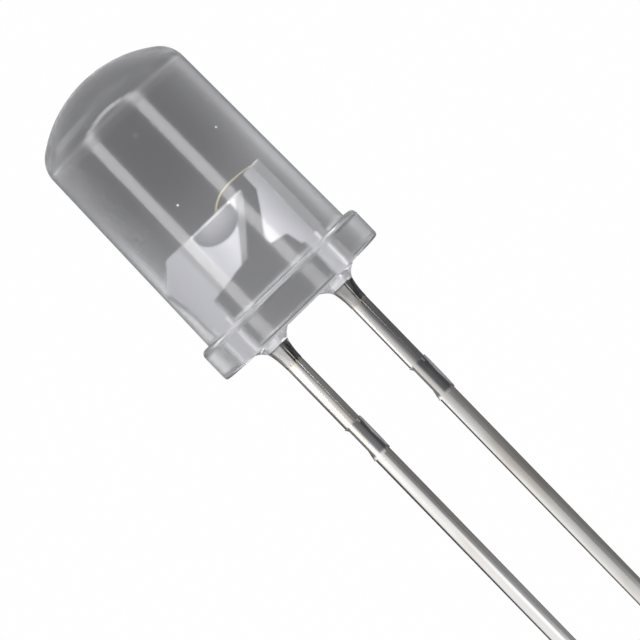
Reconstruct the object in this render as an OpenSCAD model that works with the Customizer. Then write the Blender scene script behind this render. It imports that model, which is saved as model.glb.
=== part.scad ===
/* [Clear body] */
// Height of the clear body above the seating plane
body_h = 8.5; // [8:0.1:9.4]
// Diameter of the barrel where it rises from the flange
barrel_d = 5.08; // [4.9:0.02:5.3]
// Draft of the barrel on each side, in degrees
barrel_draft = 1; // [0.2:0.1:1.6]
// Radius of the low crown on top
crown_r = 3.5; // [3.2:0.1:5]
// Radius that blends the crown into the barrel
shoulder_r = 0.88; // [0.5:0.02:1.1]

/* [Flange] */
// Diameter of the flange
flange_d = 5.7; // [5.6:0.05:6.1]
// Height of the flange
flange_h = 1; // [0.8:0.1:1.3]
// Rounding of the flange's upper edge
flange_top_r = 0.17; // [0.05:0.01:0.2]
// Rounding of the flange's lower edge
flange_foot_r = 0.1; // [0.05:0.01:0.2]
// Ledge between the barrel and the flat that marks the cathode
flat_ledge = 0.02; // [0.02:0.01:0.1]

/* [Epoxy on the leads] */
// Radius around a lead at which the epoxy starts to creep down it
creep_r = 0.83; // [0.7:0.01:0.9]
// Radius of the hollow curve of the creeping epoxy
creep_curve_r = 0.7; // [0.65:0.01:0.85]
// Angle at which that curve leaves the underside, in degrees
creep_angle = 9; // [5:1:15]
// Depth below the seating plane at which the creep turns into a film
creep_h = 0.3; // [0.25:0.01:0.34]
// Depth below the seating plane at which the film ends
film_h = 0.95; // [0.7:0.05:1.4]
// Thickness of the film over a lead's corners where it ends
film_t = 0.01; // [0.005:0.005:0.02]

/* [Lead frame] */
// Thickness of the sheet that both frames are stamped from
sheet_t = 0.46; // [0.4:0.02:0.5]
// Width of a lead across the sheet
lead_w = 0.46; // [0.4:0.02:0.5]
// Rounding of a lead's long edges
lead_edge_r = 0.11; // [0.06:0.01:0.16]
// Distance between the middles of the leads
lead_pitch = 2.54; // [2.44:0.02:2.64]
// Length of the cathode lead below the seating plane
cathode_len = 25.4; // [12:0.1:30]
// Extra length of the anode lead
anode_extra = 1.5; // [0.5:0.1:3]
// Height above the seating plane at which the stamped heads begin
head_z = 1.25; // [1.1:0.05:1.4]
// Rounding of the stamped corners of the frame heads
head_corner_r = 0.07; // [0.03:0.01:0.1]

/* [Trimmed tie bar] */
// Depth below the seating plane at which a lead steps sideways
jog_start = 3.2; // [2:0.1:6]
// Length of the first, short step
jog_step_in = 0.12; // [0.08:0.02:0.3]
// Length of the shifted stretch
jog_len = 0.72; // [0.4:0.02:1.2]
// Length of the second, long step
jog_step_out = 0.34; // [0.1:0.02:0.6]
// Width of the shifted stretch, which is sheared on both sides
jog_w = 0.4; // [0.36:0.01:0.42]
// How far its middle lies beside the lead's
jog_shift = 0.04; // [0.02:0.01:0.06]

/* [Cathode head] */
// Height of the anvil's top above the seating plane
anvil_top = 3.45; // [3.3:0.05:3.6]
// Distance from the axis to the anvil's upper outer corner
anvil_corner = 1.17; // [1:0.01:1.3]
// Distance from the axis to the anvil's tip, towards the post
anvil_tip = 0.72; // [0.65:0.01:0.8]
// Distance from the axis to the anvil's heel, away from the post
anvil_heel = 0.16; // [0:0.01:0.3]
// Height of the heel
anvil_heel_z = 1.97; // [1.8:0.01:2.1]
// Height at which the anvil's outer side stands out furthest
anvil_hip_z = 2.7; // [2.4:0.05:2.9]
// How far the outer side stands out past the lead
anvil_hip = 0.1; // [0.02:0.01:0.2]
// Height at which the head has narrowed to the lead
anvil_neck_z = 1.78; // [1.6:0.01:1.79]

/* [Reflector cup] */
// Outer radius of the pressed bowl
bowl_r = 0.56; // [0.5:0.01:0.6]
// Height of the bowl's straight wall below the rim
bowl_wall_h = 0.2; // [0.1:0.02:0.3]
// Bevel round the rim, left by the coining punch
rim_bevel = 0.05; // [0.02:0.01:0.08]
// Radius of the cup's mouth
cup_mouth_r = 0.46; // [0.4:0.01:0.48]
// Radius of the cup's floor
cup_floor_r = 0.3; // [0.28:0.01:0.34]
// Depth of the cup
cup_depth = 0.5; // [0.4:0.02:0.55]

/* [Anode head] */
// Height of the post's top above the seating plane
post_top = 3.71; // [3.5:0.01:3.9]
// Width of the post's top
post_w = 0.33; // [0.25:0.01:0.45]
// Sideways gap between the anvil and the post
split_gap = 0.62; // [0.5:0.01:0.7]
// Height at which the post's foot is widest
foot_z = 2.08; // [2:0.01:2.3]
// Height of the foot's underside
foot_under_z = 1.84; // [1.8:0.01:1.9]
// How far the web under the foot stands out past the lead
web_out = 0.1; // [0.05:0.01:0.2]
// Height of the web's top
web_z = 1.73; // [1.6:0.01:1.78]

/* [Chip and wire] */
// Side of the square chip
die_w = 0.3; // [0.24:0.01:0.34]
// Thickness of the chip
die_h = 0.12; // [0.08:0.01:0.2]
// Height of the chip's sloped upper edges
mesa_h = 0.03; // [0.01:0.005:0.04]
// Thickness of the glue under the chip
glue_t = 0.015; // [0.01:0.005:0.03]
// How far the glue stands out around the chip
glue_out = 0.04; // [0.02:0.005:0.05]
// Height to which the glue climbs the chip's sides
glue_climb = 0.03; // [0.01:0.005:0.05]
// Diameter of the bond wire
wire_d = 0.03; // [0.02:0.005:0.05]
// Height of the wire's loop above the post's top
loop_h = 0.07; // [0.04:0.01:0.2]
// Diameter of the ball that starts the wire on the chip
ball_d = 0.09; // [0.07:0.005:0.12]
// Height of the ball
ball_h = 0.035; // [0.02:0.005:0.05]
// Distance from the post's inner edge to the wire's end
stitch_in = 0.12; // [0.08:0.01:0.2]
// Length of the flattened end of the wire
stitch_len = 0.07; // [0.05:0.01:0.1]
// Thickness of the flattened end
stitch_t = 0.01; // [0.005:0.005:0.02]

/* [Hidden] */
// Facets of round shapes that stay true curves
round_fn = 96;
// Points along each rounded corner of a stamped head
corner_steps = 4;
// Largest share of an edge that a rounded corner may take up
corner_share = 0.45;
// Sides of the wire, and rings along each of its two curves
wire_sides = 10;
wire_steps = 8;
// Reach of a cutting block past what it cuts
over = 1;

barrel_r = barrel_d / 2;
flange_r = flange_d / 2;
flat_x = -(barrel_r + flat_ledge);
barrel_foot_z = flange_h / 2;

// Crown centre, and the shoulder circle that touches crown and barrel from inside
crown_z = body_h - crown_r;
wall_normal = [cos(barrel_draft), sin(barrel_draft)];
wall_along = [-sin(barrel_draft), cos(barrel_draft)];
wall_reach = barrel_r * wall_normal[0] + (flange_h - crown_z) * wall_normal[1] - shoulder_r;
wall_rise = sqrt(pow(crown_r - shoulder_r, 2) - pow(wall_reach, 2));
shoulder_c = [0, crown_z] + wall_reach * wall_normal + wall_rise * wall_along;
on_wall = shoulder_c + shoulder_r * wall_normal;
on_crown = [0, crown_z] + (shoulder_c - [0, crown_z]) * crown_r / (crown_r - shoulder_r);
barrel_foot = [barrel_r + (flange_h - barrel_foot_z) * tan(barrel_draft), barrel_foot_z];

// The creeping epoxy's hollow curve, and the radius at which it turns into the film
creep_c = [creep_r + creep_curve_r * sin(creep_angle), -creep_curve_r * cos(creep_angle)];
film_top_r = creep_c[0] - sqrt(pow(creep_curve_r, 2) - pow(creep_h + creep_c[1], 2));
lead_corner_r = norm([lead_w, sheet_t]) / 2 - lead_edge_r * (sqrt(2) - 1);
film_end_r = lead_corner_r + film_t;

// Middles and edges of the leads
cathode_x = -lead_pitch / 2;
anode_x = lead_pitch / 2;
cathode_in = cathode_x + lead_w / 2;
cathode_out = cathode_x - lead_w / 2;
anode_in = anode_x - lead_w / 2;
anode_out = anode_x + lead_w / 2;

// The anvil's slanted side, which the post follows at the split gap
function slant_x(z) = -anvil_heel + (anvil_tip + anvil_heel) * (z - anvil_heel_z) / (anvil_top - anvil_heel_z);
function slant_z(x) = anvil_heel_z + (anvil_top - anvil_heel_z) * (x + anvil_heel) / (anvil_tip + anvil_heel);
post_in = anode_out - post_w;

// Heights in the cup, counted up from its floor
cup_floor_z = anvil_top - cup_depth;
die_z = cup_floor_z + glue_t;
die_top = die_z + die_h;

// The wire: a quarter turn up from the ball, then a shallow curve down to the post
wire_r = wire_d / 2;
ball_r = ball_d / 2;
wire_start_z = die_top + ball_h;
wire_peak_z = post_top + loop_h;
rise_r = wire_peak_z - wire_start_z;
stitch_x = post_in + stitch_in;
fall_dx = stitch_x - rise_r;
fall_dz = loop_h - wire_r;
fall_angle = 2 * atan(fall_dz / fall_dx);
fall_r = fall_dx / sin(fall_angle);

anvil_outline = [
    [cathode_out, head_z],
    [cathode_in, head_z],
    [cathode_in, anvil_neck_z],
    [-anvil_heel, anvil_heel_z],
    [anvil_tip, anvil_top],
    [-anvil_corner, anvil_top],
    [cathode_out - anvil_hip, anvil_hip_z],
    [cathode_out, anvil_neck_z]
];

post_outline = [
    [anode_out, head_z],
    [anode_out, post_top],
    [post_in, post_top],
    [post_in, slant_z(post_in - split_gap)],
    [slant_x(foot_z) + split_gap, foot_z],
    [slant_x(foot_z) + split_gap, foot_under_z],
    [anode_in - web_out, web_z],
    [anode_in, head_z]
];

// Points that round the corner p between its neighbours a and b
function corner_arc(a, p, b, r) =
    let (
        u = (a - p) / norm(a - p),
        v = (b - p) / norm(b - p),
        half = acos(u * v) / 2,
        back = min(r / tan(half), corner_share * min(norm(a - p), norm(b - p))),
        centre = p + (u + v) / norm(u + v) * back / cos(half),
        first = p + u * back - centre,
        last = p + v * back - centre,
        turn = 180 - 2 * half
    )
    [for (i = [0:corner_steps]) let (t = i / corner_steps)
        centre + (first * sin((1 - t) * turn) + last * sin(t * turn)) / sin(turn)];

// An outline with its corners rounded, apart from the first and last that join a lead
function rounded(points, r) = [
    for (i = [0:len(points) - 1])
        for (q = (i == 0 || i == len(points) - 1 || points[i][1] == head_z)
            ? [points[i]]
            : corner_arc(points[i - 1], points[i], points[i + 1], r)) q
];

// A stamped head: an outline in the XZ plane, as thick as the sheet
module stamped(points) {
    rotate([90, 0, 0])
        translate([0, 0, -sheet_t / 2])
            linear_extrude(sheet_t)
                polygon(rounded(points, head_corner_r));
}

// The section of a lead, with rounded long edges
module lead_section() {
    inner_w = lead_w - 2 * lead_edge_r;
    inner_t = sheet_t - 2 * lead_edge_r;
    square([inner_w, sheet_t], center = true);
    square([lead_w, inner_t], center = true);
    for (x = [-1, 1], y = [-1, 1])
        translate([x * inner_w / 2, y * inner_t / 2])
            circle(lead_edge_r, $fn = round_fn);
}

// A straight stretch of lead between two depths, its middle at x
module lead_run(x, from_z, to_z) {
    translate([x, 0, to_z])
        linear_extrude(from_z - to_z)
            lead_section();
}

// The sheared stretch where the tie bar was cut off, with its sideways steps
module tie_bar_jog(x) {
    z0 = -jog_start;
    z1 = z0 - jog_step_in;
    z2 = z1 - jog_len;
    z3 = z2 - jog_step_out;
    half = lead_w / 2;
    side = jog_w / 2;
    translate([x, sheet_t / 2, 0])
        rotate([90, 0, 0])
            linear_extrude(sheet_t)
                polygon([
                    [half, z0], [side + jog_shift, z1], [side + jog_shift, z2], [half, z3],
                    [-half, z3], [jog_shift - side, z2], [jog_shift - side, z1], [-half, z0]
                ]);
}

// A whole lead from the head down to its tip
module lead(x, length) {
    lead_run(x, head_z, -jog_start);
    tie_bar_jog(x);
    lead_run(x, -jog_start - jog_step_in - jog_len - jog_step_out, -length);
}

// The pressed bowl: a short straight wall over a half sphere, its seam clear of the sheet
module bowl() {
    translate([0, 0, anvil_top - bowl_wall_h])
        rotate([0, 0, 90])
            rotate_extrude($fn = round_fn) {
                polygon([
                    [0, 0], [bowl_r, 0], [bowl_r, bowl_wall_h - rim_bevel],
                    [bowl_r - rim_bevel, bowl_wall_h], [0, bowl_wall_h]
                ]);
                intersection() {
                    circle(bowl_r, $fn = round_fn);
                    translate([0, -bowl_r])
                        square(bowl_r);
                }
            }
}

module cup_hollow() {
    slope = (cup_mouth_r - cup_floor_r) / cup_depth;
    translate([0, 0, cup_floor_z])
        cylinder(h = cup_depth + over, r1 = cup_floor_r, r2 = cup_mouth_r + over * slope, $fn = round_fn);
}

module cathode_shape() {
    difference() {
        union() {
            stamped(anvil_outline);
            bowl();
        }
        cup_hollow();
    }
    lead(cathode_x, cathode_len);
}

module anode_shape() {
    stamped(post_outline);
    lead(anode_x, cathode_len + anode_extra);
}

module die_shape() {
    body_w = die_w * sqrt(2);
    mesa_w = (die_w - 2 * mesa_h) * sqrt(2);
    translate([0, 0, die_z]) {
        rotate([0, 0, 45])
            cylinder(h = die_h - mesa_h, d = body_w, $fn = 4);
        translate([0, 0, die_h - mesa_h])
            rotate([0, 0, 45])
                cylinder(h = mesa_h, d1 = body_w, d2 = mesa_w, $fn = 4);
    }
}

module glue_shape() {
    foot_w = (die_w + 2 * glue_out) * sqrt(2);
    difference() {
        translate([0, 0, cup_floor_z])
            rotate([0, 0, 45])
                cylinder(h = glue_t + glue_climb, d1 = foot_w, d2 = (die_w + glue_out) * sqrt(2), $fn = 4);
        die_shape();
    }
}

// One ring of the wire round [x, z], its axis tilted in the XZ plane, rn high and ry wide
function ring(x, z, tilt, rn, ry) = [
    for (i = [0:wire_sides - 1]) let (a = 360 * i / wire_sides)
        [x - rn * cos(a) * sin(tilt), ry * sin(a), z + rn * cos(a) * cos(tilt)]
];

// The wire in one piece: ball, quarter turn up, shallow curve down and flattened end
module wire_shape() {
    rings = concat(
        [
            ring(0, die_top, 90, ball_r, ball_r),
            ring(0, die_top + ball_h / 2, 90, ball_r, ball_r)
        ],
        [for (i = [0:wire_steps]) let (a = 90 * i / wire_steps)
            ring(rise_r * (1 - cos(a)), wire_start_z + rise_r * sin(a), 90 - a, wire_r, wire_r)],
        [for (i = [1:wire_steps]) let (a = fall_angle * i / wire_steps)
            ring(rise_r + fall_r * sin(a), wire_peak_z - fall_r * (1 - cos(a)), -a, wire_r, wire_r)],
        [
            ring(stitch_x + stitch_len / 2, post_top + stitch_t / 2, 0, stitch_t / 2, wire_d),
            ring(stitch_x + stitch_len, post_top + stitch_t / 2, 0, stitch_t / 2, wire_r)
        ]
    );
    last = len(rings) - 1;
    n = wire_sides;
    polyhedron(
        points = [for (r = rings) for (q = r) q],
        faces = concat(
            [[for (i = [0:n - 1]) n - 1 - i]],
            [for (k = [0:last - 1]) for (i = [0:n - 1]) let (j = (i + 1) % n)
                each [[k * n + i, k * n + j, (k + 1) * n + j], [k * n + i, (k + 1) * n + j, (k + 1) * n + i]]],
            [[for (i = [0:n - 1]) last * n + i]]
        )
    );
}

// Half of the barrel's section: drafted wall, shoulder arc and crown arc, which overlap inside
module barrel_profile() {
    polygon([[0, barrel_foot_z], barrel_foot, on_wall, shoulder_c, [0, shoulder_c[1]]]);
    translate(shoulder_c)
        circle(shoulder_r, $fn = round_fn);
    intersection() {
        translate([0, crown_z])
            circle(crown_r, $fn = round_fn);
        translate([0, crown_z])
            square([on_crown[0], crown_r + over]);
    }
}

// Half of the flange's section, with both rims rounded
module flange_profile() {
    difference() {
        square([flange_r, flange_h]);
        translate([flange_r - flange_top_r, flange_h - flange_top_r])
            rim_cut(flange_top_r);
        translate([flange_r - flange_foot_r, flange_foot_r])
            mirror([0, 1])
                rim_cut(flange_foot_r);
    }
}

module rim_cut(r) {
    difference() {
        square(r + over);
        circle(r, $fn = round_fn);
    }
}

// Half of the section of the epoxy that crept down a lead
module creep_profile() {
    difference() {
        translate([0, -creep_h])
            square([creep_r, creep_h]);
        translate(creep_c)
            circle(creep_curve_r, $fn = round_fn);
    }
    polygon([[0, 0], [film_end_r, 0], [film_top_r, -creep_h], [film_end_r, -film_h], [0, -film_h]]);
}

module moulding() {
    rotate_extrude($fn = round_fn)
        barrel_profile();
    difference() {
        rotate_extrude($fn = round_fn)
            flange_profile();
        translate([flat_x - over, -flange_d / 2, -over])
            cube([over, flange_d, flange_h + 2 * over]);
    }
    for (x = [cathode_x, anode_x])
        translate([x, 0, 0])
            rotate_extrude($fn = round_fn)
                creep_profile();
}

module epoxy_lens() {
    color([0.8, 0.82, 0.85, 0.35])
        difference() {
            moulding();
            cathode_shape();
            anode_shape();
            die_shape();
            glue_shape();
            wire_shape();
        }
}

module cathode_lead() {
    color([0.78, 0.78, 0.76]) cathode_shape();
}

module anode_lead() {
    color([0.78, 0.78, 0.76]) anode_shape();
}

module led_die() {
    color([0.35, 0.4, 0.45]) die_shape();
}

module die_attach() {
    color([0.7, 0.7, 0.68]) glue_shape();
}

module bond_wire() {
    color([0.86, 0.72, 0.4]) wire_shape();
}

epoxy_lens();
cathode_lead();
anode_lead();
led_die();
die_attach();
bond_wire();
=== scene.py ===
# %% [markdown]
# # A clear through-hole LED, seen against a white ground
#
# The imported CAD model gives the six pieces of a 5 mm LED their sizes and places. This lesson puts
# the looks on them: a clear moulded body that bends light as epoxy does, a tinned lead frame with
# its draw lines and sheared kinks, and the fine gold wire that crosses from the chip to the post.
# Blender works in metres here. An LED is small, so the sizes are written in millimetres and
# multiplied by one constant when a mesh is made.

# %% Load the frame
import math

import bmesh
import bpy
import numpy as np
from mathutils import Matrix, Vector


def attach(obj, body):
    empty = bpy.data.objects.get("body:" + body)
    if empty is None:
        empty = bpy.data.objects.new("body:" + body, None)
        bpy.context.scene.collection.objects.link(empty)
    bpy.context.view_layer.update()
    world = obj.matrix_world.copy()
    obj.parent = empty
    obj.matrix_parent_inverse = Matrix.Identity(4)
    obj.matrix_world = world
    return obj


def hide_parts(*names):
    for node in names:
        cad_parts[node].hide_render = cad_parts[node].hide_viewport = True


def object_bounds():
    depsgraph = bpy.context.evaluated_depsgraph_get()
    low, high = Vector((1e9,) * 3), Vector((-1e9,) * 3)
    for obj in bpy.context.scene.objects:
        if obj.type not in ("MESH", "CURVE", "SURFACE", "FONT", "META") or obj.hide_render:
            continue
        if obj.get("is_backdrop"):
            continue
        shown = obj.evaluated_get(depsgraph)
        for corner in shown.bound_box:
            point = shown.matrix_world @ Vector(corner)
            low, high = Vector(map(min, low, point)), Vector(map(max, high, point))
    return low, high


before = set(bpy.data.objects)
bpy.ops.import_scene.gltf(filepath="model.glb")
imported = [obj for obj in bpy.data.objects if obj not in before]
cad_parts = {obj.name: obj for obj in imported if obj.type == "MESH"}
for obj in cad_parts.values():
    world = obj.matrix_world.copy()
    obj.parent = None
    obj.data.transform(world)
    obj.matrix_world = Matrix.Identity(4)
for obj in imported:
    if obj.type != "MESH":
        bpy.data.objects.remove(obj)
MM = 0.001
cad_low, cad_high = (list(corner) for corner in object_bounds())
print("CAD box in mm:", [round(v / MM, 2) for v in cad_low + cad_high])

# %% [markdown]
# ## The camera
#
# A catalogue picture of so small a part is taken with a long lens, so both leads look equally wide.
# The part leans across the picture because the camera is rolled, not the part: the frame stays
# upright and every other view stays level. A camera could be turned by hand until it fits, but an
# angle that is written down can be changed alone. So the camera's own axes are worked out from the
# turn, the height and the roll, and written into its matrix. The middle of the picture lies a
# little below the seating plane.

# %% Place the camera
from mathutils import Matrix, Vector

TURN = math.radians(19.0)
HEIGHT = math.radians(1.7)
AXIS_IN_PICTURE = (-0.6966, 0.7175)
PICTURE_WIDTH = 17.3 * MM
LENS, SENSOR = 400.0, 36.0
MIDDLE_RIGHT, MIDDLE_UP = 0.115 * MM, -0.58 * MM

toward_camera = Vector((math.sin(TURN) * math.cos(HEIGHT),
                        -math.cos(TURN) * math.cos(HEIGHT),
                        math.sin(HEIGHT)))
level_right = Vector((math.cos(TURN), math.sin(TURN), 0.0))
level_up = toward_camera.cross(level_right)
across, along = AXIS_IN_PICTURE
right = across * level_up + along * level_right
up = along * level_up - across * level_right
target = MIDDLE_RIGHT * level_right + MIDDLE_UP * level_up
distance = PICTURE_WIDTH * LENS / SENSOR

camera_data = bpy.data.cameras.new("camera")
camera_data.lens, camera_data.sensor_width = LENS, SENSOR
camera_data.clip_start, camera_data.clip_end = 0.001, 10.0
camera = bpy.data.objects.new("camera", camera_data)
bpy.context.scene.collection.objects.link(camera)
camera.matrix_world = Matrix.Translation(target + distance * toward_camera) @ Matrix(
    (right, up, toward_camera)).transposed().to_4x4()
bpy.context.scene.camera = camera
bpy.context.scene.view_settings.view_transform = "Standard"
print("camera stands", round(distance / MM, 1), "mm away")

# %% [markdown]
# ## Shader sums as plain Python
#
# A node tree is a drawing of a formula. Written as an expression, the formula stays readable. One
# small class holds an output socket, and the usual signs add Math nodes to the tree.


# %% Wrap a socket
class Signal:
    """A number that changes over a surface; the arithmetic signs add Math nodes."""

    def __init__(self, recipe, socket):
        self.recipe, self.socket = recipe, socket

    def math(self, operation, *values):
        """One Math node; its inputs are filled in the order of the values."""
        return self.recipe.add("ShaderNodeMath", {"operation": operation}, dict(enumerate(values)))

    def __add__(self, other):
        return self.math("ADD", self, other)

    def __sub__(self, other):
        return self.math("SUBTRACT", self, other)

    def __rsub__(self, other):
        return self.math("SUBTRACT", other, self)

    def __mul__(self, other):
        return self.math("MULTIPLY", self, other)

    def __pow__(self, other):
        return self.math("POWER", self, other)

    __radd__, __rmul__ = __add__, __mul__

    def step(self, low, high):
        """0 below low, 1 above high and a soft rise between; the two may be swapped."""
        return self.recipe.add("ShaderNodeMapRange", {"interpolation_type": "SMOOTHSTEP"},
                               {"Value": self, "From Min": low, "From Max": high}, "Result")

    def magnitude(self):
        """The number without its sign."""
        return self.math("ABSOLUTE", self)

    def sign(self):
        """1 where the number is positive and -1 where it is negative."""
        return self.math("SIGN", self)

    def most(self, other):
        """The larger of two numbers."""
        return self.math("MAXIMUM", self, other)

    def near(self, place, full, none):
        """1 up to the distance full from a place, and 0 beyond the distance none."""
        return (self - place).magnitude().step(none, full)


# %% [markdown]
# ## A tree that is filled by calls
#
# A second class holds the tree and adds any other node from its type, its settings and its inputs.
# The settings come first, because some of them change which inputs a node has. A few short methods
# name what every material here needs: the point on the piece, a noise, a colour between two
# others, and marks painted one over the other.


# %% Hold a tree
class Recipe:
    """A node tree that is filled by calls."""

    def __init__(self, owner):
        owner.use_nodes = True
        self.owner, self.tree = owner, owner.node_tree
        self.tree.nodes.clear()

    def add(self, kind, settings=None, inputs=None, output=0):
        """Adds a node: its settings first, then the value or the link of each input."""
        node = self.tree.nodes.new(kind)
        for name, value in (settings or {}).items():
            setattr(node, name, value)
        for name, value in (inputs or {}).items():
            if isinstance(value, Signal):
                self.tree.links.new(value.socket, node.inputs[name])
            else:
                node.inputs[name].default_value = value
        return Signal(self, node.outputs[output])

    def place(self):
        """The point on the piece, in metres, and its three coordinates in millimetres."""
        point = self.add("ShaderNodeTexCoord", output="Object")
        parts = self.add("ShaderNodeSeparateXYZ", inputs={0: point}).socket.node.outputs
        return point, [Signal(self, part) * (1.0 / MM) for part in parts]

    def stretched(self, point, scale):
        """The same point with each direction scaled, so that a pattern is drawn out."""
        return self.add("ShaderNodeVectorMath", {"operation": "MULTIPLY"}, {0: point, 1: scale})

    def noise(self, point, scale, detail=2.0):
        """Soft random patches; scale is how many fit into a metre."""
        return self.add("ShaderNodeTexNoise", inputs={
            "Vector": point, "Scale": scale, "Detail": detail})

    def mixed(self, amount, first, second):
        """Colour first where amount is 0 and second where it is 1."""
        node = self.add("ShaderNodeMix", {"data_type": "RGBA"}, {0: amount}).socket.node
        for index, value in ((6, first), (7, second)):
            if isinstance(value, Signal):
                self.tree.links.new(value.socket, node.inputs[index])
            else:
                node.inputs[index].default_value = (*value, 1.0)
        return Signal(self, node.outputs[2])

    def painted(self, tone, *marks):
        """Paints marks over a colour, one after the other; each is an amount and a colour."""
        for amount, colour in marks:
            tone = self.mixed(amount, tone, colour)
        return tone

    def bumped(self, height, depth, **normal):
        """A normal that follows height, where a height of 1 stands depth metres proud."""
        return self.add("ShaderNodeBump", inputs={
            "Height": height, "Distance": depth, "Strength": 1.0, **normal})

    def finish(self, surface, kind="ShaderNodeOutputMaterial"):
        """Links the surface to the output and gives the material or the world back."""
        sink = self.tree.nodes.new(kind)
        self.tree.links.new(surface.socket, sink.inputs["Surface"])
        print(self.owner.name, "has", len(self.tree.nodes), "nodes")
        return self.owner


def new_material(name):
    """An empty recipe for a new material."""
    return Recipe(bpy.data.materials.new(name))


def dress(piece, material):
    """Gives a piece one material in place of any that it had."""
    piece.data.materials.clear()
    piece.data.materials.append(material)


# %% [markdown]
# ## Surfaces from whole arrays
#
# Every new piece is a grid of points: one index runs along a profile and the other round it. numpy
# works all points out at once. The helper joins neighbouring rows with four-sided faces, closes the
# grid round its second index, welds the points that fall together at poles and seams, and turns all
# faces outwards. Edges sharper than a given angle stay crisp. It also counts the edges that don't
# lie between two faces: a closed piece has none, and a flat sheet has its outline.


# %% Turn grids into one mesh
def quads(rows, columns, first):
    """Faces between neighbouring rows and columns of a grid that closes round its columns."""
    row, column = np.meshgrid(np.arange(rows - 1), np.arange(columns), indexing="ij")
    beside = (column + 1) % columns
    corners = np.stack([row * columns + column, row * columns + beside,
                        (row + 1) * columns + beside, (row + 1) * columns + column], axis=-1)
    return corners.reshape(-1, 4) + first


def make_piece(name, grids, crisp_degrees=35.0, weld=2e-9):
    """One mesh from grids of points in millimetres, each of shape rows, columns, 3."""
    points = np.concatenate([g.reshape(-1, 3) for g in grids]) * MM
    starts = np.cumsum([0] + [g.shape[0] * g.shape[1] for g in grids[:-1]])
    faces = np.concatenate([quads(g.shape[0], g.shape[1], s) for g, s in zip(grids, starts)])
    mesh = bpy.data.meshes.new(name)
    mesh.from_pydata(points.tolist(), [], faces.tolist())
    work = bmesh.new()
    work.from_mesh(mesh)
    bmesh.ops.remove_doubles(work, verts=work.verts, dist=weld)
    bmesh.ops.recalc_face_normals(work, faces=work.faces)
    open_edges = sum(not edge.is_manifold for edge in work.edges)
    work.to_mesh(mesh)
    work.free()
    mesh.shade_smooth()
    mesh.set_sharp_from_angle(angle=math.radians(crisp_degrees))
    piece = bpy.data.objects.new(name, mesh)
    bpy.context.scene.collection.objects.link(piece)
    print(name, len(mesh.polygons), "faces,", open_edges, "open edges")
    return piece


# %% [markdown]
# ## The moulded body
#
# The real body is cast: liquid epoxy is poured into a cup-shaped mould, the lead frame hangs in it
# upside down, and the whole sets hard. The crown, the shoulder and the drafted wall are the mould's
# shape. The flange has a flat on the cathode's side. The open face of the mould becomes the
# underside, where the liquid crept up the leads and set as a hollow collar and a thin film.
#
# It could be turned with a Spin modifier, but the flat and the two collars need more. Here a
# profile is carried round the axis, each ring is cut off straight at the flat, and the underside is
# laid between the flange's lower ring and a ring round each lead. The skin has no inner walls: the
# metal simply stands inside it, which is how light sees a frame that epoxy wets without a gap.
#
# The profile runs from the top of the crown down to the flange's foot. The shoulder's circle
# touches the crown and the wall from inside, so no edge shows between them. The flange's wall gets
# rows of its own, because a tall face beside a rounded edge would take on the edge's slanted
# normals.

# %% The profile of the crown, the shoulder, the wall and the flange
CROWN_R, CROWN_Z = 3.5, 5.0
SHOULDER_R, SHOULDER_AT = 0.88, (1.5532, 7.11)
DRAFT = 1
BARREL_R, FLANGE_R, FLANGE_H = 2.54, 2.85, 1.0
TOP_ROUND, FOOT_ROUND = 0.17, 0.1
FLAT_X = -2.56


def arc(centre, radius, start, end, steps):
    """Points on a circle: centre plus radius times the cosine and the sine of each angle, which
    runs evenly from start to end in degrees."""
    angle = np.radians(np.linspace(start, end, steps))
    return np.stack([centre[0] + radius * np.cos(angle),
                     centre[1] + radius * np.sin(angle)], axis=-1)


def line(start, end, steps):
    """Points on a straight line: start plus an even share, from 0 to 1, of the way to end."""
    return np.array(start) + np.linspace(0, 1, steps)[:, None] * (np.array(end) - np.array(start))


crown_end = math.degrees(math.atan2(SHOULDER_AT[1] - CROWN_Z, SHOULDER_AT[0]))
crown = arc((0, CROWN_Z), CROWN_R, 90, crown_end, 48)
shoulder = arc(SHOULDER_AT, SHOULDER_R, crown_end, DRAFT, 32)
wall = line(shoulder[-1], (BARREL_R, FLANGE_H), 40)
flange_top = arc((FLANGE_R - TOP_ROUND, FLANGE_H - TOP_ROUND), TOP_ROUND, 90, 0, 12)
flange_foot = arc((FLANGE_R - FOOT_ROUND, FOOT_ROUND), FOOT_ROUND, 0, -90, 10)
flange_wall = line(flange_top[-1], flange_foot[0], 16)[1:-1]
profile = np.concatenate([crown, shoulder[1:], wall[1:], flange_top, flange_wall, flange_foot])
profile[0, 0] = 0.0
print("body profile has", len(profile), "points, top at", profile[0, 1], "mm")

# %% [markdown]
# ## Rings with a flat
#
# Each ring is a circle cut off straight at the flat. The columns keep to four stretches, so that
# one column always runs down each corner of the flat and the corner stays a clean line.

# %% Carry the profile round the axis
COLUMNS = (128, 46, 36, 46)


def ring_points(radius):
    """Points of a circle of that radius, straight where it would pass the flat: rows of x, y.

    The corner's angle is the one whose cosine times the radius gives the flat's x. A ring that
    stays short of the flat keeps its circle and shares the columns as the flange does.
    """
    cut = radius > -FLAT_X + 1e-6
    corner = math.degrees(math.acos(FLAT_X / (radius if cut else FLANGE_R)))
    stops = [-90, 90, corner, 360 - corner, 270]
    angle = np.radians(np.concatenate(
        [np.linspace(a, b, n, endpoint=False) for a, b, n in zip(stops, stops[1:], COLUMNS)]))
    x, y = radius * np.cos(angle), radius * np.sin(angle)
    if cut:
        first = COLUMNS[0] + COLUMNS[1]
        last = first + COLUMNS[2]
        x[first:last] = FLAT_X
        y[first:last] = np.linspace(y[first], -y[first], COLUMNS[2], endpoint=False)
    return np.stack([x, y], axis=-1)


rings = np.stack([ring_points(r) for r in profile[:, 0]])
heights = np.broadcast_to(profile[:, 1, None, None], rings.shape[:2] + (1,))
outside = np.concatenate([rings, heights], axis=-1)
print("outside grid", outside.shape)

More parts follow.
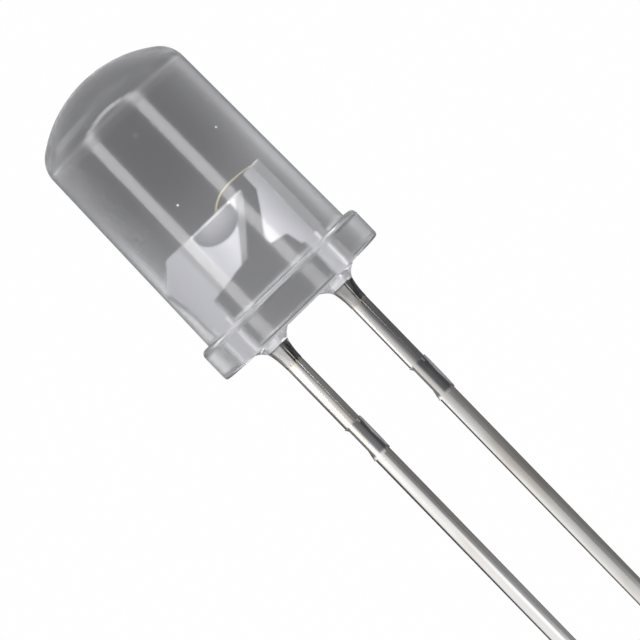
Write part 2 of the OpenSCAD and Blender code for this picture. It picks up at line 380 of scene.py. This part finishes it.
# %% [markdown]
# ## The underside and the collars on the leads
#
# Seen from a lead, half of the underside is a region without hidden corners. So each point on that
# half's outline is paired with the point of the lead's collar that lies in the same direction. The
# surface runs straight between them, then down the hollow curve of the collar, then down the film,
# whose section changes from a circle into the lead's rounded square. A boolean could join simpler
# shapes, but it would leave ragged faces just where the light catches the thin film.

# %% Lay the underside
LEAD_X, LEAD_HALF, SQUARENESS = 1.27, 0.23, 4.4
CREEP_R, CREEP_CURVE, CREEP_ANGLE, CREEP_H = 0.83, 0.7, 9.0, 0.3
FILM_H, FILM_T, FILM_EASE = 0.95, 0.01, 0.8
FLAT_ROWS, CURVE_ROWS, FILM_ROWS = 8, 20, 14
creep_centre = (CREEP_R + CREEP_CURVE * math.sin(math.radians(CREEP_ANGLE)),
                -CREEP_CURVE * math.cos(math.radians(CREEP_ANGLE)))
film_r = creep_centre[0] - math.sqrt(CREEP_CURVE**2 - (CREEP_H + creep_centre[1])**2)


def underside(outline, lead_x):
    """Grid from a half's outline, in the order of its points, to the middle of the film's end.

    The collar is an arc round a centre that lies outside the metal, so it is hollow. The rounded
    square's radius is the half width over the root, of power p, of the sum of cosine and sine, each
    without its sign and to the power p. The film's radius goes from the circle's to the square's
    with the sine of a quarter turn, which makes it hug the lead early.
    """
    direction = np.arctan2(outline[:, 1], outline[:, 0] - lead_x)
    unit = np.stack([np.cos(direction), np.sin(direction)], axis=-1)
    lead = np.array([lead_x, 0.0])
    collar = lead + CREEP_R * unit
    share = np.linspace(0, 1, FLAT_ROWS)[:, None, None]
    flat_rows = outline + share * (collar - outline)

    start = math.atan2(-creep_centre[1], CREEP_R - creep_centre[0])
    end = math.atan2(-CREEP_H - creep_centre[1], film_r - creep_centre[0])
    turn = np.linspace(start, end, CURVE_ROWS)[1:]
    curve_r = creep_centre[0] + CREEP_CURVE * np.cos(turn)
    curve_z = creep_centre[1] + CREEP_CURVE * np.sin(turn)
    curve_rows = lead + curve_r[:, None, None] * unit

    power_sum = (np.abs(unit)**SQUARENESS).sum(axis=-1)
    square = (LEAD_HALF + FILM_T) / power_sum**(1 / SQUARENESS)
    change = np.linspace(0, 1, FILM_ROWS)[1:]
    eased = np.sin(change * math.pi / 2)[:, None]**FILM_EASE
    film = film_r + (square[None, :] - film_r) * eased
    film_z = -CREEP_H - change * (FILM_H - CREEP_H)
    film_rows = lead + film[..., None] * unit

    cap = np.array([0.6, 0.3, 0.0])
    cap_rows = lead + cap[:, None, None] * square[None, :, None] * unit
    rows = np.concatenate([flat_rows, curve_rows, film_rows, cap_rows])
    z = np.concatenate([np.zeros(FLAT_ROWS), curve_z, film_z, np.full(len(cap), -FILM_H)])
    return np.concatenate([rows, np.broadcast_to(z[:, None, None], rows.shape[:2] + (1,))], axis=-1)


foot = ring_points(profile[-1, 0])
half = COLUMNS[0]
seam = line(foot[half], foot[0], 61)
right_outline = np.concatenate([foot[:half], seam[:-1]])
left_outline = np.concatenate([foot[half:], seam[::-1][:-1]])
body = make_piece("moulded_body", [outside, underside(right_outline, LEAD_X),
                                   underside(left_outline, -LEAD_X)])
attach(body, "root")
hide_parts("epoxy_lens")

# %% [markdown]
# ## Clear epoxy
#
# Water-clear epoxy bends light about as glass does, with an index of 1.5. It is a little softer
# than glass: its skin is slightly dulled by the mould, most at the flange's upper edge and where
# the shoulder begins, so lamps show as streaks with soft edges. A faint waviness comes from
# shrinking as it sets. Fine specks of dust lie everywhere, and three larger flecks sit where the
# photograph shows them. A fleck could be a tiny ball, but a spot of matt white in the skin is
# enough at this size.

# %% Make the epoxy
DUST = (((2.199, -1.121, 5.119), 0.05), ((0.481, -2.379, 7.437), 0.035),
        ((0.342, -2.458, 4.333), 0.045))

recipe = new_material("clear_epoxy")
point, (x, y, z) = recipe.place()
cloud = recipe.noise(point, 260.0, 3.0)
waves = recipe.noise(recipe.stretched(point, (1.0, 1.0, 0.35)), 420.0, 1.0)
specks = recipe.add("ShaderNodeTexVoronoi", {"feature": "F1"},
                    {"Vector": point, "Scale": 900.0}, "Distance").step(0.1, 0.04)
flange_edge = z.step(0.76, 0.84) * z.step(1.06, 1.0)
shoulder_start = z.step(6.9, 7.1) * z.step(7.5, 7.3)
surface = recipe.add("ShaderNodeBsdfPrincipled", None, {
    "Base Color": recipe.mixed(cloud, (0.93, 0.94, 0.965), (0.965, 0.965, 0.97)),
    "Roughness": (0.125 + 0.04 * cloud + 0.12 * specks + 0.14 * flange_edge
                  + 0.07 * shoulder_start),
    "IOR": 1.5,
    "Transmission Weight": 1.0,
    "Normal": recipe.bumped(waves + 0.15 * specks, 0.006 * MM),
})
for place, size in DUST:
    offset = recipe.add("ShaderNodeVectorMath", {"operation": "DISTANCE"},
                        {0: point, 1: [v * MM for v in place]}, "Value")
    dust = offset.step(size * MM, 0.4 * size * MM)
    fleck = recipe.add("ShaderNodeBsdfDiffuse", None, {"Color": (0.9, 0.9, 0.9, 1.0)})
    surface = recipe.add("ShaderNodeMixShader", None, {0: 0.45 * dust, 1: surface, 2: fleck})
dress(body, recipe.finish(surface))

# %% [markdown]
# ## Tinned lead frame
#
# The frame is stamped from steel strip, plated, and dipped in tin where the leads stay outside the
# body. Drawing and dipping leave fine lines along the leads and a few dull, brownish blotches. The
# heads inside the body keep the plating's paler, more even sheen.
#
# One plain metal would do for a toy, but tinned steel is known by its marks. An image could carry
# them, at the price of unwrapping each piece. Here the piece's own coordinates tell where a point
# lies, so each mark is a short product of soft steps: inside the body or in the air, on the rolled
# sheet or on its cut sides, left or right of the lead's middle.

# %% Find the way round the frame
KINK_Z = -3.75

recipe = new_material("tinned_frame")
point, (x, y, z) = recipe.place()
lines = recipe.noise(recipe.stretched(point, (1.0, 1.0, 0.03)), 9000.0, 3.0)
patches = recipe.noise(recipe.stretched(point, (1.0, 1.0, 0.3)), 1500.0, 2.0)
inside = z.step(-0.35, 0.05)
in_air = 1 - inside
side_sign = x.sign()
anode, cathode = 0.5 + 0.5 * side_sign, 0.5 - 0.5 * side_sign
from_middle = x - LEAD_X * side_sign
cut_side = y.magnitude().step(0.222, 0.2)
kink = z.near(KINK_Z, 0.5, 0.6)
print("the kink's middle lies", -KINK_Z, "mm below the flange")

# %% [markdown]
# ## Marks that the tools leave, and painted shade and highlights
#
# Painted shade darkens the lead's edges in the air, most on the left ones. Where the tie bar was
# cut off after moulding, the kink has painted shade on its flanks and, on its cut side, a strip of
# bright torn metal. A stripe of painted shade runs down the anvil's front. The cut sides inside the
# body carry a painted highlight, and the anvil's slanted side stays matt. A painted highlight
# brightens the right half of the cathode's lead towards its end, where its faces are also flatter,
# and the anode's lead has a dull stretch above its kink.

# %% Masks of the tool marks, the painted shade and the painted highlights
# Painted shade along the leads' edges in the air, darkest on the left ones.
edge_shade = 0.8 * from_middle.step(-0.15, -0.215) + 0.12 * from_middle.step(0.15, 0.215)
corner = from_middle.step(0.09, 0.15) * in_air
# Painted shade on both flanks of the kink.
kink_shade_right = kink * from_middle.step(0.0, 0.09)
kink_shade_left = kink * from_middle.step(-0.07, -0.11)
torn = (from_middle.step(-0.1, 0.1) * (y - 0.2 * (z - KINK_Z).magnitude()).step(-0.04, 0.0)
        * kink * cut_side)
# A stripe of painted shade down the anvil's front.
anvil_stripe_shade = x.near(-0.7, 0.08, 0.22) * (1 - cut_side) * z.step(0.9, 1.3)
slant = inside * cut_side * z.step(1.1, 1.3) * x.near(0.3, 0.35, 0.4)
lower_cathode = cathode * z.step(-4.5, -10.5)
# A painted highlight on the right half of the cathode's lead towards its end.
lower_cathode_highlight = lower_cathode * from_middle.step(0.0, 0.12)
dull = anode * z.step(-0.75, -1.05) * z.step(-3.7, -3.2) * from_middle.step(-0.02, 0.1)

# %% [markdown]
# ## The film, the collar and the cup, with painted highlights
#
# The epoxy crept down the leads. Its thin film greys the tin, with one edge in shade, and ends in a
# brownish line. Where the collar stops, a dark line is painted round the lead, and above it a
# painted highlight makes the metal shine bright through the thick collar. The cup bulges past the
# sheet, where its stretched skin is matt, and a painted highlight makes its bevelled rim the
# brightest edge of the head.

# %% Masks of the film and the cup
film = (z + 0.6 * patches).step(-1.4, -0.3) * in_air
film_shade = z.step(-1.0, -0.9) * corner
film_end = z.near(-FILM_H, 0.02, 0.05)
# A dark line painted round the lead where the collar stops.
collar_end_line = z.near(-CREEP_H, 0.015, 0.035)
# The metal inside the collar is painted bright: a painted highlight.
collar = z.step(-0.29, -0.26) * z.step(-0.01, -0.04)
bowl_skin = y.magnitude().step(0.235, 0.26) * inside
# A painted highlight on the cup's bevelled rim.
rim_highlight = z.step(3.38, 3.4) * ((x * x + y * y)**0.5).near(0.51, 0.05, 0.06)

# %% [markdown]
# ## Put the metal together
#
# The marks are painted one over the other, from the widest to the smallest. The strip's faces are
# slightly pillowed by rolling, which spreads a reflection across the lead. A height that falls
# with the square of the distance from the lead's middle gives that without a changed shape; a small
# even slope turns each lead a little. The Bevel node rounds the heads' edges for the eye only.

# %% Make the frame's metal
BRIGHT, KINK_GREY = (0.97, 0.97, 0.97), (0.13, 0.13, 0.14)

dipped = recipe.mixed(patches.step(0.45, 0.75), (0.7, 0.685, 0.65), (0.58, 0.54, 0.48))
tone = recipe.painted(
    dipped,
    (inside, (0.64, 0.64, 0.66)),
    # The cut sides inside the body are painted near white: a painted highlight.
    (inside * cut_side, BRIGHT),
    (edge_shade * in_air, (0.16, 0.155, 0.15)),
    (anvil_stripe_shade * 0.6, (0.4, 0.4, 0.4)),
    (lower_cathode_highlight, (0.97, 0.96, 0.94)),
    (film * 0.8, (0.42, 0.41, 0.39)),
    (film_shade * 0.9, (0.03, 0.03, 0.03)),
    (kink_shade_right * 0.85, KINK_GREY),
    (kink_shade_left * 0.9, (0.07, 0.07, 0.06)),
    (dull * (0.4 + 0.5 * patches), KINK_GREY),
    (torn, (0.93, 0.93, 0.93)),
    (collar_end_line * 0.8, (0.12, 0.11, 0.1)),
    (film_end * 0.5, (0.5, 0.4, 0.26)),
    (bowl_skin, (0.66, 0.66, 0.67)),
    (rim_highlight.most(collar), BRIGHT),
)
slope = 0.12 * anode - 0.01 * cathode
pillow = in_air * ((0.55 - 0.36 * lower_cathode) * (from_middle * from_middle + y * y)
                   + slope * from_middle)
rounded = recipe.add("ShaderNodeBevel", {"samples": 6}, {"Radius": 0.05 * MM})
plain = recipe.add("ShaderNodeNewGeometry", output="Normal")
facing = recipe.add("ShaderNodeMix", {"data_type": "VECTOR"}, {0: inside, 4: plain, 5: rounded}, 1)
relief = 0.002 * (lines * (1 - 0.6 * inside) + 0.6 * patches) - pillow
surface = recipe.add("ShaderNodeBsdfPrincipled", None, {
    "Base Color": tone,
    "Metallic": 1 - 0.7 * slant,
    "Roughness": (0.13 + 0.05 * lines + 0.06 * patches
                  + inside * (0.34 + 0.24 * bowl_skin - 0.3 * rim_highlight)
                  + 0.3 * collar + 0.3 * torn + 0.25 * film * (1 - corner) - 0.09 * corner),
    "Normal": recipe.bumped(relief, MM, Normal=facing),
})
tinned = recipe.finish(surface)
for name in ("cathode_lead", "anode_lead"):
    dress(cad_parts[name], tinned)

# %% [markdown]
# ## Chip, glue and wire
#
# The chip is a sawn cube of semiconductor with a metal pad on top. It sits in silver-filled glue on
# the cup's floor. Both keep the CAD model's shape. The wire is drawn gold, thinner than a hair: a
# ball pressed on the chip, a loop, and an end pressed flat on the post. A curve with a bevel would
# give the loop alone. Here a ring is carried along the path, and its height and width change along
# the way to make the ball and the flat end.

# %% Carry the wire along its loop
CHIP_TOP, POST_TOP, LOOP_OVER_POST = 3.085, 3.71, 0.07
WIRE_R, BALL_R, BALL_H, BALL_FULLNESS = 0.015, 0.045, 0.035, 0.6
LOOP_TOP = POST_TOP + LOOP_OVER_POST
RISE = LOOP_TOP - CHIP_TOP - BALL_H
STITCH_X = 1.29
# The pressed end, ring by ring: how far along the post, how high over it, half height, half width.
STITCH = np.array([(0.02, 0.009, 0.009, 0.022), (0.045, 0.006, 0.006, 0.028),
                   (0.07, 0.005, 0.004, 0.024), (0.07, 0.005, 0.0, 0.0)])


def wire_grid(sides=20):
    """Rings across the wire's path, from the ball's foot over the loop to the pressed end.

    The loop rises on a quarter circle and falls on the arc that meets the post's top at the right
    length. A ring's point is the path's point plus half height times the cosine along the path's
    normal, and half width times the sine along y.
    """
    ball = np.linspace(-1, 1, 12) * math.pi / 2
    rise = np.linspace(0, math.pi / 2, 40)[1:]
    fall_angle = 2 * math.atan((LOOP_TOP - POST_TOP - WIRE_R) / (STITCH_X - RISE))
    fall_r = (STITCH_X - RISE) / math.sin(fall_angle)
    fall = np.linspace(0, fall_angle, 30)[1:]
    end_x, end_z, end_high, end_wide = STITCH.T

    path_x = np.concatenate([np.zeros(len(ball)), RISE * (1 - np.cos(rise)),
                             RISE + fall_r * np.sin(fall), STITCH_X + end_x])
    path_z = np.concatenate([CHIP_TOP + BALL_H / 2 * (1 + np.sin(ball)),
                             CHIP_TOP + BALL_H + RISE * np.sin(rise),
                             LOOP_TOP - fall_r * (1 - np.cos(fall)), POST_TOP + end_z])
    tilt = np.concatenate([np.full(len(ball), math.pi / 2), math.pi / 2 - rise, -fall,
                           np.zeros(len(end_x))])[:, None]
    ball_r = np.maximum(BALL_R * np.cos(ball)**BALL_FULLNESS, np.where(ball > 0, WIRE_R, 0.0))
    loop_r = np.full(len(rise) + len(fall), WIRE_R)
    high = np.concatenate([ball_r, loop_r, end_high])[:, None]
    wide = np.concatenate([ball_r, loop_r, end_wide])[:, None]

    around = np.linspace(0, 2 * math.pi, sides, endpoint=False)
    normal = high * np.cos(around)
    return np.stack([path_x[:, None] - normal * np.sin(tilt), wide * np.sin(around),
                     path_z[:, None] + normal * np.cos(tilt)], axis=-1)


wire = make_piece("gold_wire", [wire_grid()], 60.0)
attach(wire, "root")
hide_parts("bond_wire")

# %% [markdown]
# ## Finishes of the small pieces
#
# Gold keeps fine draw lines along the wire. The chip's sides show the saw's lines and its top a
# round bonding pad. The glue is full of silver flakes that catch the light one by one, which cells
# of a Voronoi pattern give without any geometry.

# %% Finish the chip, the glue and the wire
recipe = new_material("gold")
point, _ = recipe.place()
lines = recipe.noise(recipe.stretched(point, (0.2, 1.0, 0.2)), 60000.0, 2.0)
surface = recipe.add("ShaderNodeBsdfPrincipled", None, {
    "Base Color": recipe.mixed(lines, (0.8, 0.7, 0.4), (0.92, 0.86, 0.6)),
    "Metallic": 1.0, "Roughness": 0.25 + 0.15 * lines})
dress(wire, recipe.finish(surface))

recipe = new_material("chip_surface")
point, (x, y, z) = recipe.place()
pad = ((x * x + y * y)**0.5).step(0.075, 0.065) * z.step(3.06, 3.08)
saw = recipe.noise(recipe.stretched(point, (1.0, 1.0, 6.0)), 12000.0, 2.0)
surface = recipe.add("ShaderNodeBsdfPrincipled", None, {
    "Base Color": recipe.mixed(pad, (0.2, 0.23, 0.27), (0.9, 0.75, 0.4)),
    "Metallic": pad, "Roughness": 0.2 + 0.3 * saw, "Normal": recipe.bumped(saw, 0.002 * MM)})
dress(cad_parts["led_die"], recipe.finish(surface))

recipe = new_material("silver_glue")
point, _ = recipe.place()
flakes = recipe.add("ShaderNodeTexVoronoi", None, {"Vector": point, "Scale": 60000.0}, "Distance")
surface = recipe.add("ShaderNodeBsdfPrincipled", None, {
    "Base Color": recipe.mixed(flakes, (0.78, 0.78, 0.76), (0.5, 0.5, 0.49)),
    "Metallic": 0.6, "Roughness": 0.45 + 0.3 * flakes,
    "Normal": recipe.bumped(flakes, 0.003 * MM)})
dress(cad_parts["die_attach"], recipe.finish(surface))

# %% [markdown]
# ## The grey card
#
# Clear and shiny parts show their surroundings more than themselves. Such a part is photographed in
# a white tent with an opening for the camera: two soft strips beside the opening, an arch of light
# that joins them above, and a grey card that gives the clear body its tone. The card here is a
# bowl: a table, a round wall and a domed top. The camera doesn't see it, so the ground stays white,
# and only reflections and light through the epoxy meet it.
#
# A picture of a studio could be wrapped round the scene instead. A mesh with a brightness at each
# of its points does the same with a few tables of numbers, and it shows where each reflection
# comes from.


# %% Shape the card
def card(name, points, glow):
    """A bowl of card from a grid of points in millimetres, with a brightness at each point."""
    piece = make_piece(name, [points])
    mesh = piece.data
    values = mesh.attributes.new("glow", "FLOAT", "POINT")
    places = np.empty(len(mesh.vertices) * 3, dtype=np.float32)
    mesh.vertices.foreach_get("co", places)
    values.data.foreach_set("value", glow(places.reshape(-1, 3) / MM).astype(np.float32))
    return piece


CARD_R, CARD_FOOT, CARD_ROUND, CARD_TOP = 80.0, -26.4, 8.0, 30.0
around = np.linspace(0, 2 * math.pi, 180, endpoint=False)
card_side = np.concatenate([
    line((1, CARD_FOOT), (CARD_R - CARD_ROUND, CARD_FOOT), 72),
    arc((CARD_R - CARD_ROUND, CARD_FOOT + CARD_ROUND), CARD_ROUND, -80, 0, 6),
    line((CARD_R, -18), (CARD_R, CARD_TOP), 97),
    arc((0, CARD_TOP), CARD_R, 5, 88, 18)])
bowl = np.stack(np.broadcast_arrays(card_side[:, :1] * np.cos(around),
                                    card_side[:, :1] * np.sin(around),
                                    card_side[:, 1:]), axis=-1)
print("card grid", bowl.shape)

# %% [markdown]
# ## The card's brightness
#
# Straight behind the part the card is dark, and it grows lighter to both sides: the clear barrel is
# a strong lens, so this is what gives it a dark middle and pale flanks. Level bands behave in the
# same way in the flange and the dome. Low down, the card is what the shiny leads mirror. Each table
# below gives the brightness at a few places, with straight lines between them.

# %% Paint the card
behind = np.array([-math.sin(TURN), math.cos(TURN)])
beside = np.array([behind[1], -behind[0]])
TABLE_BELOW, TABLE_FAR = -20, 52


def card_glow(places):
    """Brightness at each point of the card.

    side is the angle from straight behind the part, positive to the camera's right, and angle is
    side without its sign. azimuth runs from the part's front at 0. level is the height.
    """
    reach = np.linalg.norm(places[:, :2], axis=1)
    unit = places[:, :2] / reach[:, None]
    side = np.degrees(np.arctan2(unit @ beside, unit @ behind))
    angle = np.abs(side)
    azimuth = np.degrees(np.arctan2(places[:, 0], -places[:, 1]))
    level = places[:, 2]

    # The wall: dark behind, lighter to the sides, with bands that the flange and the foot show.
    tone = np.interp(angle, [0, 20, 31, 37, 44, 50, 56, 71, 90, 110, 180],
                     [.155, .155, .165, .18, .215, .27, .32, .42, .45, .2, .1])
    tone = tone * np.interp(level, [-4, -3, -1.2, 0, 1.6, 2.2, 2.8],
                            [1.1, 1.7, 1.6, 1.45, 1.75, 1.3, 1.0])
    tone = tone * np.interp(side, [-90, -80, -54, -46], [1.0, 1.25, 1.25, 1.0])
    shade = np.interp(side, [30, 38, 60, 70], [0, 1, 1, 0]) * np.interp(level, [0, 1.5], [0, 1])
    tone = tone * (1 - 0.22 * shade)

    # A pale panel low at the right, which lights the right half of the flange.
    panel = (np.interp(side, [30, 36, 44, 51, 60, 72, 80], [0, 0.2, 0.36, 0.9, 1.45, 1.1, 0])
             * np.interp(level, [-3.4, -3.0, -1.6, -1.2, 0.8, 1.8, 3.2],
                         [0, 1, 1, 0.75, 0.55, 0.45, 0]))
    tone = np.maximum(tone, panel)

    # Round the leads, below the body: white at the front left, darker all round the rest.
    leads = np.interp(azimuth, [-150, -62, -48, -20, -5, 10, 30, 90, 135, 160, 180],
                      [0.12, 0.08, 1.1, 1.15, 0.85, 0.5, 0.3, 0.3, 0.24, 0.24, 0.17])
    low = np.interp(level, [-3.4, -2.8], [1, 0]) * np.interp(angle, [26, 36], [0, 1])
    tone = tone + low * (leads - tone)
    left_white = (np.interp(azimuth, [-62, -48, -25, 8], [0, 1.15, 1.15, 0])
                  * np.interp(level, [-1.5, 0], [1, 0]))
    tone = np.maximum(tone, left_white)

    # The table, with a paler patch far behind at the right, and the domed top, lighter upwards.
    table = np.interp(angle, [60, 110], [0.145, 1.2])
    patch = np.interp(side, [6, 13, 28, 40, 52], [0.15, 0.2, 0.28, 0.28, 0.0])
    table = np.maximum(table, patch * (reach > TABLE_FAR))
    upper = np.interp(level, [8, 18, 94, 103], [0, 0.35, 0.35, 0.95])
    return np.where(level < TABLE_BELOW, table, tone + upper)


grey_card = card("grey_card", bowl, card_glow)
recipe = new_material("card")
glow = recipe.add("ShaderNodeAttribute", {"attribute_name": "glow"}, output="Fac")
tinted = recipe.add("ShaderNodeVectorMath", {"operation": "SCALE"},
                    {0: (0.97, 0.97, 1.0), "Scale": glow})
light = recipe.add("ShaderNodeEmission", None, {"Color": tinted, "Strength": 1.0})
card_paint = recipe.finish(light)
card_paint.cycles.emission_sampling = "NONE"
dress(grey_card, card_paint)
grey_card.visible_camera = grey_card.visible_diffuse = grey_card.visible_shadow = False
grey_card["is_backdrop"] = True

# %% [markdown]
# ## Lamps
#
# The lamps are soft rectangles that face the part. Their power follows from the brightness that
# they should show: brightness times pi times their area. The left and the right strip give the two
# streaks that run down the barrel, and the arch of narrow lamps joins the streaks over the crown.


# %% Hang the lamps
LAMP_R, LAMP_AIM_Z = 70, 3
WARM = (1.0, 0.99, 0.985)
ARCH = ((-23, 34, 13), (-11, 43, 12), (1, 49, 10.5), (13, 51, 9.5), (25, 49, 10.5), (37, 43, 12),
        (49, 34, 13))


def strip(name, azimuth, elevation, width, height, brightness, colour=(1.0, 1.0, 1.0)):
    """A soft rectangle that faces the part; angles in degrees, azimuth 0 is on the -Y side."""
    a, e = math.radians(azimuth), math.radians(elevation)
    toward = Vector((math.sin(a) * math.cos(e), -math.cos(a) * math.cos(e), math.sin(e)))
    data = bpy.data.lights.new(name, "AREA")
    data.shape, data.size, data.size_y = "RECTANGLE", width * MM, height * MM
    data.energy = brightness * math.pi * width * height * MM * MM
    data.color = colour
    lamp = bpy.data.objects.new(name, data)
    lamp.location = LAMP_R * MM * toward + Vector((0, 0, LAMP_AIM_Z * MM))
    lamp.rotation_euler = toward.to_track_quat("Z", "Y").to_euler()
    lamp.visible_camera = False
    bpy.context.scene.collection.objects.link(lamp)
    return lamp


for name, azimuth in (("left", -27), ("right", 53)):
    strip(name + "_upper", azimuth, 14.5, 19, 34, 7.8, WARM)
    strip(name + "_lower", azimuth, -1.9, 19, 6.4, 6.0, WARM)
for azimuth, elevation, width in ARCH:
    strip("arch", azimuth, elevation, width, 17, 6.5)

# %% [markdown]
# ## Floor and ground
#
# The part stands on a plain pale floor, a round sheet just below its longer lead. The ground is
# white for the eye and for reflections, and dimmer as a light, so that pale metal keeps its tone.
# The Light Path node tells the two apart.

# %% Lay the floor and light the ground
FLOOR_Z = cad_low[2] / MM - 0.02
FLOOR_R = 120
disc_r = np.linspace(0, FLOOR_R, 13)[:, None]
floor_points = np.stack(np.broadcast_arrays(disc_r * np.cos(around), disc_r * np.sin(around),
                                            np.float64(FLOOR_Z)), axis=-1)
floor = make_piece("floor", [floor_points])
recipe = new_material("floor_paint")
point, _ = recipe.place()
paint = recipe.noise(point, 60.0, 2.0)
surface = recipe.add("ShaderNodeBsdfPrincipled", None, {
    "Base Color": recipe.mixed(paint, (0.66, 0.66, 0.66), (0.69, 0.69, 0.69)), "Roughness": 0.7})
dress(floor, recipe.finish(surface))
floor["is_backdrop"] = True

recipe = Recipe(bpy.data.worlds.new("ground"))
rays = recipe.add("ShaderNodeLightPath").socket.node.outputs
seen = Signal(recipe, rays["Is Camera Ray"]).most(Signal(recipe, rays["Is Glossy Ray"]))
seen = seen.most(Signal(recipe, rays["Is Transmission Ray"]))
light = recipe.add("ShaderNodeBackground", None, {
    "Color": (1.0, 1.0, 1.0, 1.0), "Strength": 0.62 + 0.375 * seen})
bpy.context.scene.world = recipe.finish(light, "ShaderNodeOutputWorld")
